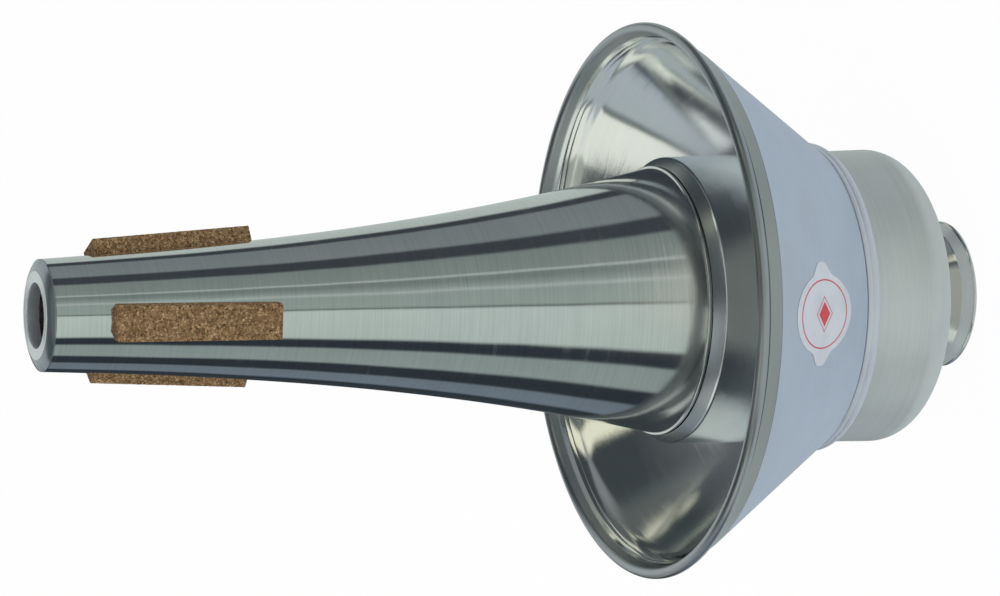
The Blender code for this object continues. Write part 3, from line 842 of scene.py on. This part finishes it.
def makeLabel():
    turn = radians(label["angle"])
    rise = cup["bandLow"] - cup["low"]
    run = cup["coneRadius"] - cup["throat"] - cup["wall"]
    slope = atan(run / rise)
    share = (label["middle"] - cup["low"]) / rise
    radius = cup["throat"] + cup["wall"] + run * share
    outward = Vector((cos(turn), sin(turn), 0.0))
    centre = outward * radius + Vector((0.0, 0.0, label["middle"]))
    along = outward * sin(slope) + Vector((0.0, 0.0, cos(slope)))
    across = Vector((-sin(turn), cos(turn), 0.0))
    normal = across.cross(along)
    near = label["approach"]
    nothingSelected()
    bpy.ops.mesh.primitive_circle_add(vertices=label["sides"], radius=0.5, fill_type="NOTHING")
    piece = bpy.context.object
    piece.name = "coneLabel"
    bpy.ops.object.mode_set(mode="EDIT")
    bpy.ops.mesh.select_all(action="SELECT")
    for ring in range(label["rings"], 1, -1):
        bpy.ops.mesh.extrude_edges_move()
        shrink = (ring - 1) / ring
        bpy.ops.transform.resize(value=(shrink, shrink, 1.0))
    bpy.ops.mesh.merge(type="CENTER")
    for side in (-1.0, 1.0):                    # an oval with a small soft tab at each side
        bpy.ops.mesh.select_all(action="DESELECT")
        bpy.ops.object.mode_set(mode="OBJECT")
        for vertex in piece.data.vertices:
            atRim = vertex.co.length > label["rimFrom"]
            vertex.select = atRim and vertex.co.y * side > 0.0 and abs(vertex.co.x) < label["tabHalf"] / 2
        bpy.ops.object.mode_set(mode="EDIT")
        bpy.ops.transform.translate(
            value=(0.0, label["tab"] * side, 0.0), use_proportional_edit=True,
            proportional_edit_falloff="SMOOTH", proportional_size=label["tabReach"])
    bpy.ops.object.mode_set(mode="OBJECT")
    piece.matrix_world = Matrix((
        (*(along * label["long"]), 0.0), (*(across * label["across"]), 0.0), (*(normal * near), 0.0),
        (0.0, 0.0, 0.0, 1.0))).transposed()
    piece.location = centre + normal * near
    bpy.ops.object.transform_apply(location=True, rotation=True, scale=True)
    shapeBy(
        piece, "SHRINKWRAP", target=cupCone, wrap_method="NEAREST_SURFACEPOINT",
        wrap_mode="OUTSIDE_SURFACE", offset=label["lift"])
    bpy.ops.object.mode_set(mode="EDIT")
    bpy.ops.mesh.select_all(action="SELECT")
    bpy.ops.mesh.normals_make_consistent(inside=False)
    bpy.ops.object.mode_set(mode="OBJECT")
    facing = sum((face.normal.dot(normal) * face.area for face in piece.data.polygons))
    if facing < 0.0:
        piece.data.flip_normals()
    shapeBy(piece, "SOLIDIFY", thickness=label["thick"], offset=1.0)
    bpy.ops.object.shade_smooth_by_angle(angle=radians(label["smoothAngle"]))
    piece.data.materials.clear()
    piece.data.materials.append(labelMaterial(centre, along, across))
    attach(piece, "cup")
    print("label laid on the cone:", len(piece.data.polygons), "faces")


makeLabel()

# Studio
studio = {
    "floorSize": 8.0, "floorTone": 0.92, "whiteShare": 0.97, "dayLevel": 0.62,
    "zenith": (0.22, 0.23, 0.22), "overhead": (0.045, 0.055, 0.065), "ground": (0.64, 0.68, 0.71),
    "deepGround": (0.56, 0.60, 0.62), "lean": 60.0,
    "upperFrom": (-0.02, 0.04), "highFrom": (0.31, 0.36), "overheadFrom": (0.625, 0.655),
    "overheadTilt": 0.07, "topFrom": (0.70, 0.73), "zenithFrom": (0.86, 0.92),
    "groundFrom": (0.34, 0.46), "deepFrom": (0.58, 0.66), "mottleScale": 6.0, "floorWarmth": 0.98,
    "bands": [      # azimuth from the camera towards +X, and what metal sees there near the horizon
        (-180, (0.04, 0.05, 0.06)), (-140, (0.03, 0.04, 0.05)), (-134, (0.17, 0.21, 0.26)),
        (-112, (0.17, 0.21, 0.25)), (-108, (0.03, 0.04, 0.05)), (-91, (0.03, 0.04, 0.05)),
        (-87, (0.30, 0.36, 0.35)), (-63, (0.28, 0.34, 0.33)), (-60, (0.03, 0.04, 0.05)),
        (-48, (0.03, 0.04, 0.05)), (-44, (0.50, 0.58, 0.55)), (-3, (0.54, 0.62, 0.59)),
        (-2, (0.10, 0.12, 0.12)), (-0.8, (0.10, 0.12, 0.12)), (0.4, (0.33, 0.40, 0.37)),
        (17, (0.31, 0.37, 0.35)), (20, (0.46, 0.51, 0.50)), (23, (0.30, 0.36, 0.34)),
        (31, (0.20, 0.24, 0.23)), (36, (0.20, 0.24, 0.23)), (37, (0.60, 0.66, 0.64)),
        (39, (0.24, 0.28, 0.27)), (61, (0.22, 0.26, 0.25)), (64, (0.05, 0.06, 0.07)),
        (78, (0.05, 0.06, 0.07)), (81, (0.22, 0.25, 0.26)), (114, (0.20, 0.23, 0.24)),
        (117, (0.05, 0.06, 0.07)), (126, (0.05, 0.06, 0.07)), (130, (0.50, 0.56, 0.54)),
        (176, (0.50, 0.56, 0.54)), (180, (0.04, 0.05, 0.06))],
    "upper": [      # the same a little higher, where the panels' edges lean
        (-180, (0.72, 0.76, 0.75)), (-172, (0.60, 0.64, 0.63)), (-163, (0.34, 0.37, 0.37)),
        (-154.5, (0.33, 0.37, 0.33)), (-151, (0.72, 0.72, 0.58)), (-147, (0.72, 0.72, 0.58)),
        (-144.5, (0.10, 0.12, 0.15)), (-138, (0.08, 0.09, 0.12)), (-136.5, (0.38, 0.43, 0.47)),
        (-108, (0.38, 0.42, 0.45)), (-104, (0.70, 0.74, 0.71)), (-70, (0.70, 0.74, 0.71)),
        (-60, (0.16, 0.18, 0.18)), (-48, (0.60, 0.60, 0.55)), (48, (0.60, 0.60, 0.55)),
        (60, (0.20, 0.22, 0.23)), (110, (0.20, 0.22, 0.23)), (121, (0.14, 0.15, 0.15)),
        (128, (0.10, 0.11, 0.11)), (136.5, (0.10, 0.11, 0.11)), (139.5, (0.58, 0.58, 0.47)),
        (144, (0.58, 0.58, 0.47)), (147, (0.12, 0.14, 0.16)), (153, (0.12, 0.14, 0.16)),
        (155, (0.30, 0.32, 0.30)), (168, (0.60, 0.64, 0.63)), (180, (0.72, 0.76, 0.75))],
    "high": [       # higher still: wide soft boxes on both sides, an unlit room before and behind
        (-180, (0.72, 0.76, 0.75)), (-140, (0.54, 0.58, 0.58)), (-128, (0.40, 0.45, 0.47)),
        (-103.5, (0.38, 0.43, 0.45)), (-102, (0.14, 0.16, 0.16)), (-100, (0.14, 0.16, 0.16)),
        (-98.7, (0.78, 0.80, 0.74)), (-72, (0.78, 0.80, 0.74)), (-69, (0.33, 0.36, 0.33)),
        (-40, (0.38, 0.39, 0.36)), (45, (0.38, 0.39, 0.36)), (56, (0.10, 0.12, 0.12)),
        (60, (0.10, 0.12, 0.12)), (63, (0.78, 0.77, 0.61)), (74, (0.78, 0.77, 0.61)),
        (76, (0.045, 0.055, 0.06)), (106, (0.045, 0.055, 0.06)), (113, (0.07, 0.09, 0.095)),
        (118, (0.10, 0.11, 0.11)), (125, (0.56, 0.60, 0.58)), (150, (0.66, 0.70, 0.68)),
        (180, (0.72, 0.76, 0.75))],
    "top": [        # one skylight in a dark ceiling
        (-80, (0.045, 0.055, 0.065)), (-72, (0.80, 0.83, 0.82)), (-15, (0.80, 0.83, 0.82)),
        (-8, (0.045, 0.055, 0.065))]}
lampTarget = (0.0, 0.0, 0.12)
lamps = [       # azimuth from the camera towards +X and height over the floor, in degrees
    {"name": "keyPanel", "azimuth": -24.0, "height": 38.0, "distance": 1.6, "side": 0.7, "power": 8.0},
    {"name": "sidePanel", "azimuth": 75.0, "height": 30.0, "distance": 1.8, "side": 0.8, "power": 5.0}]
photoView = {
    "lens": 136.8, "sensor": 36.0, "farClip": 50.0, "place": (0.0104, -0.9631, 0.5320),
    "right": (-0.02035, -0.37927, -0.92506), "back": (0.00834, -0.92528, 0.37918)}


def makeFloor():
    nothingSelected()
    bpy.ops.mesh.primitive_plane_add(size=studio["floorSize"], location=(0.0, 0.0, 0.0))
    floor = bpy.context.object
    floor.name = "studioFloor"
    material, kit = newMaterial("paleFloor")
    tone = studio["floorTone"]
    warm = tone * studio["floorWarmth"]
    mottle = kit.grain(kit.node("TexCoord", out="Object"), studio["mottleScale"])
    matte = kit.node("BsdfDiffuse", {}, {
        "Color": kit.blend(rgb(tone, tone, tone), rgb(warm, warm, tone), mottle)})
    white = kit.node("Emission", {}, {"Color": rgb(1, 1, 1), "Strength": 1.0})
    seen = kit.node("LightPath", out="Is Camera Ray")
    kit.node("OutputMaterial", {}, {"Surface": kit.node("MixShader", {}, {
        0: seen * studio["whiteShare"], 1: matte, 2: white})})
    floor.data.materials.append(material)
    floor.visible_glossy = False


def makeWorld():
    # white for the camera, even daylight on matt surfaces, painted panels for all that is mirrored
    world = bpy.data.worlds.new("studioRoom")
    world.use_nodes = True
    scene.world = world
    kit = Kit(world.node_tree)
    x, y, z = kit.split(kit.node("TexCoord", out="Generated"))
    turn = kit.node("Math", {"operation": "ARCTAN2"}, {0: x, 1: y * -1.0}) / (2 * pi) + 0.5
    lean = z * x * (studio["lean"] / 360.0)

    def panelRow(row, where):
        stops = [(0.5 + place / 360.0, colour) for place, colour in studio[row]]
        return kit.node("ValToRGB", {"stops": stops}, {"Fac": where})

    def since(height, start):
        return kit.clamped(height, *studio[start])

    ceiling = kit.blend(rgb(*studio["overhead"]), panelRow("top", turn), since(z, "topFrom"))
    layers = [      # each one covers what went before it, from its own height on
        (panelRow("upper", turn + lean), z, "upperFrom"),
        (panelRow("high", turn), z, "highFrom"),
        (ceiling, z - x * studio["overheadTilt"], "overheadFrom"),
        (rgb(*studio["zenith"]), z, "zenithFrom"),
        (rgb(*studio["ground"]), z * -1.0, "groundFrom"),
        (rgb(*studio["deepGround"]), z * -1.0, "deepFrom")]
    panels = panelRow("bands", turn)
    for layer, height, start in layers:
        panels = kit.blend(panels, layer, since(height, start))
    day = studio["dayLevel"]
    glossy = kit.node("LightPath", out="Is Glossy Ray")
    direct = kit.node("LightPath", out="Is Camera Ray")
    through = kit.node("LightPath", out="Is Transmission Ray")
    colour = kit.blend(rgb(day, day, day), panels, glossy)
    colour = kit.blend(colour, rgb(1, 1, 1), kit.maths("MAXIMUM", direct, through))
    kit.node("OutputWorld", {}, {
        "Surface": kit.node("Background", {}, {"Color": colour, "Strength": 1.0})})


def makeLamp(panel):
    aim = Vector(lampTarget)
    turn = radians(panel["azimuth"])
    rise = radians(panel["height"])
    way = Vector((sin(turn) * cos(rise), -cos(turn) * cos(rise), sin(rise)))
    place = aim + way * panel["distance"]
    nothingSelected()
    bpy.ops.object.light_add(type="AREA", location=place)
    lamp = bpy.context.object
    lamp.name = panel["name"]
    lamp.data.shape = "RECTANGLE"
    lamp.data.size = panel["side"]
    lamp.data.size_y = panel["side"]
    lamp.data.energy = panel["power"]
    lamp.rotation_euler = (aim - place).to_track_quat("-Z", "Y").to_euler()
    lamp.visible_glossy = False


def makeCamera():
    nothingSelected()
    bpy.ops.object.camera_add()
    camera = bpy.context.object
    camera.name = "photoCamera"
    camera.data.lens = photoView["lens"]
    camera.data.sensor_width = photoView["sensor"]
    camera.data.clip_end = photoView["farClip"]
    right = Vector(photoView["right"]).normalized()
    back = Vector(photoView["back"]).normalized()
    up = back.cross(right)
    turned = Matrix((right, up, back)).transposed()
    camera.matrix_world = Matrix.Translation(photoView["place"]) @ turned.to_4x4()
    scene.camera = camera


makeFloor()
makeWorld()
for panel in lamps:
    makeLamp(panel)
makeCamera()
print("studio ready")
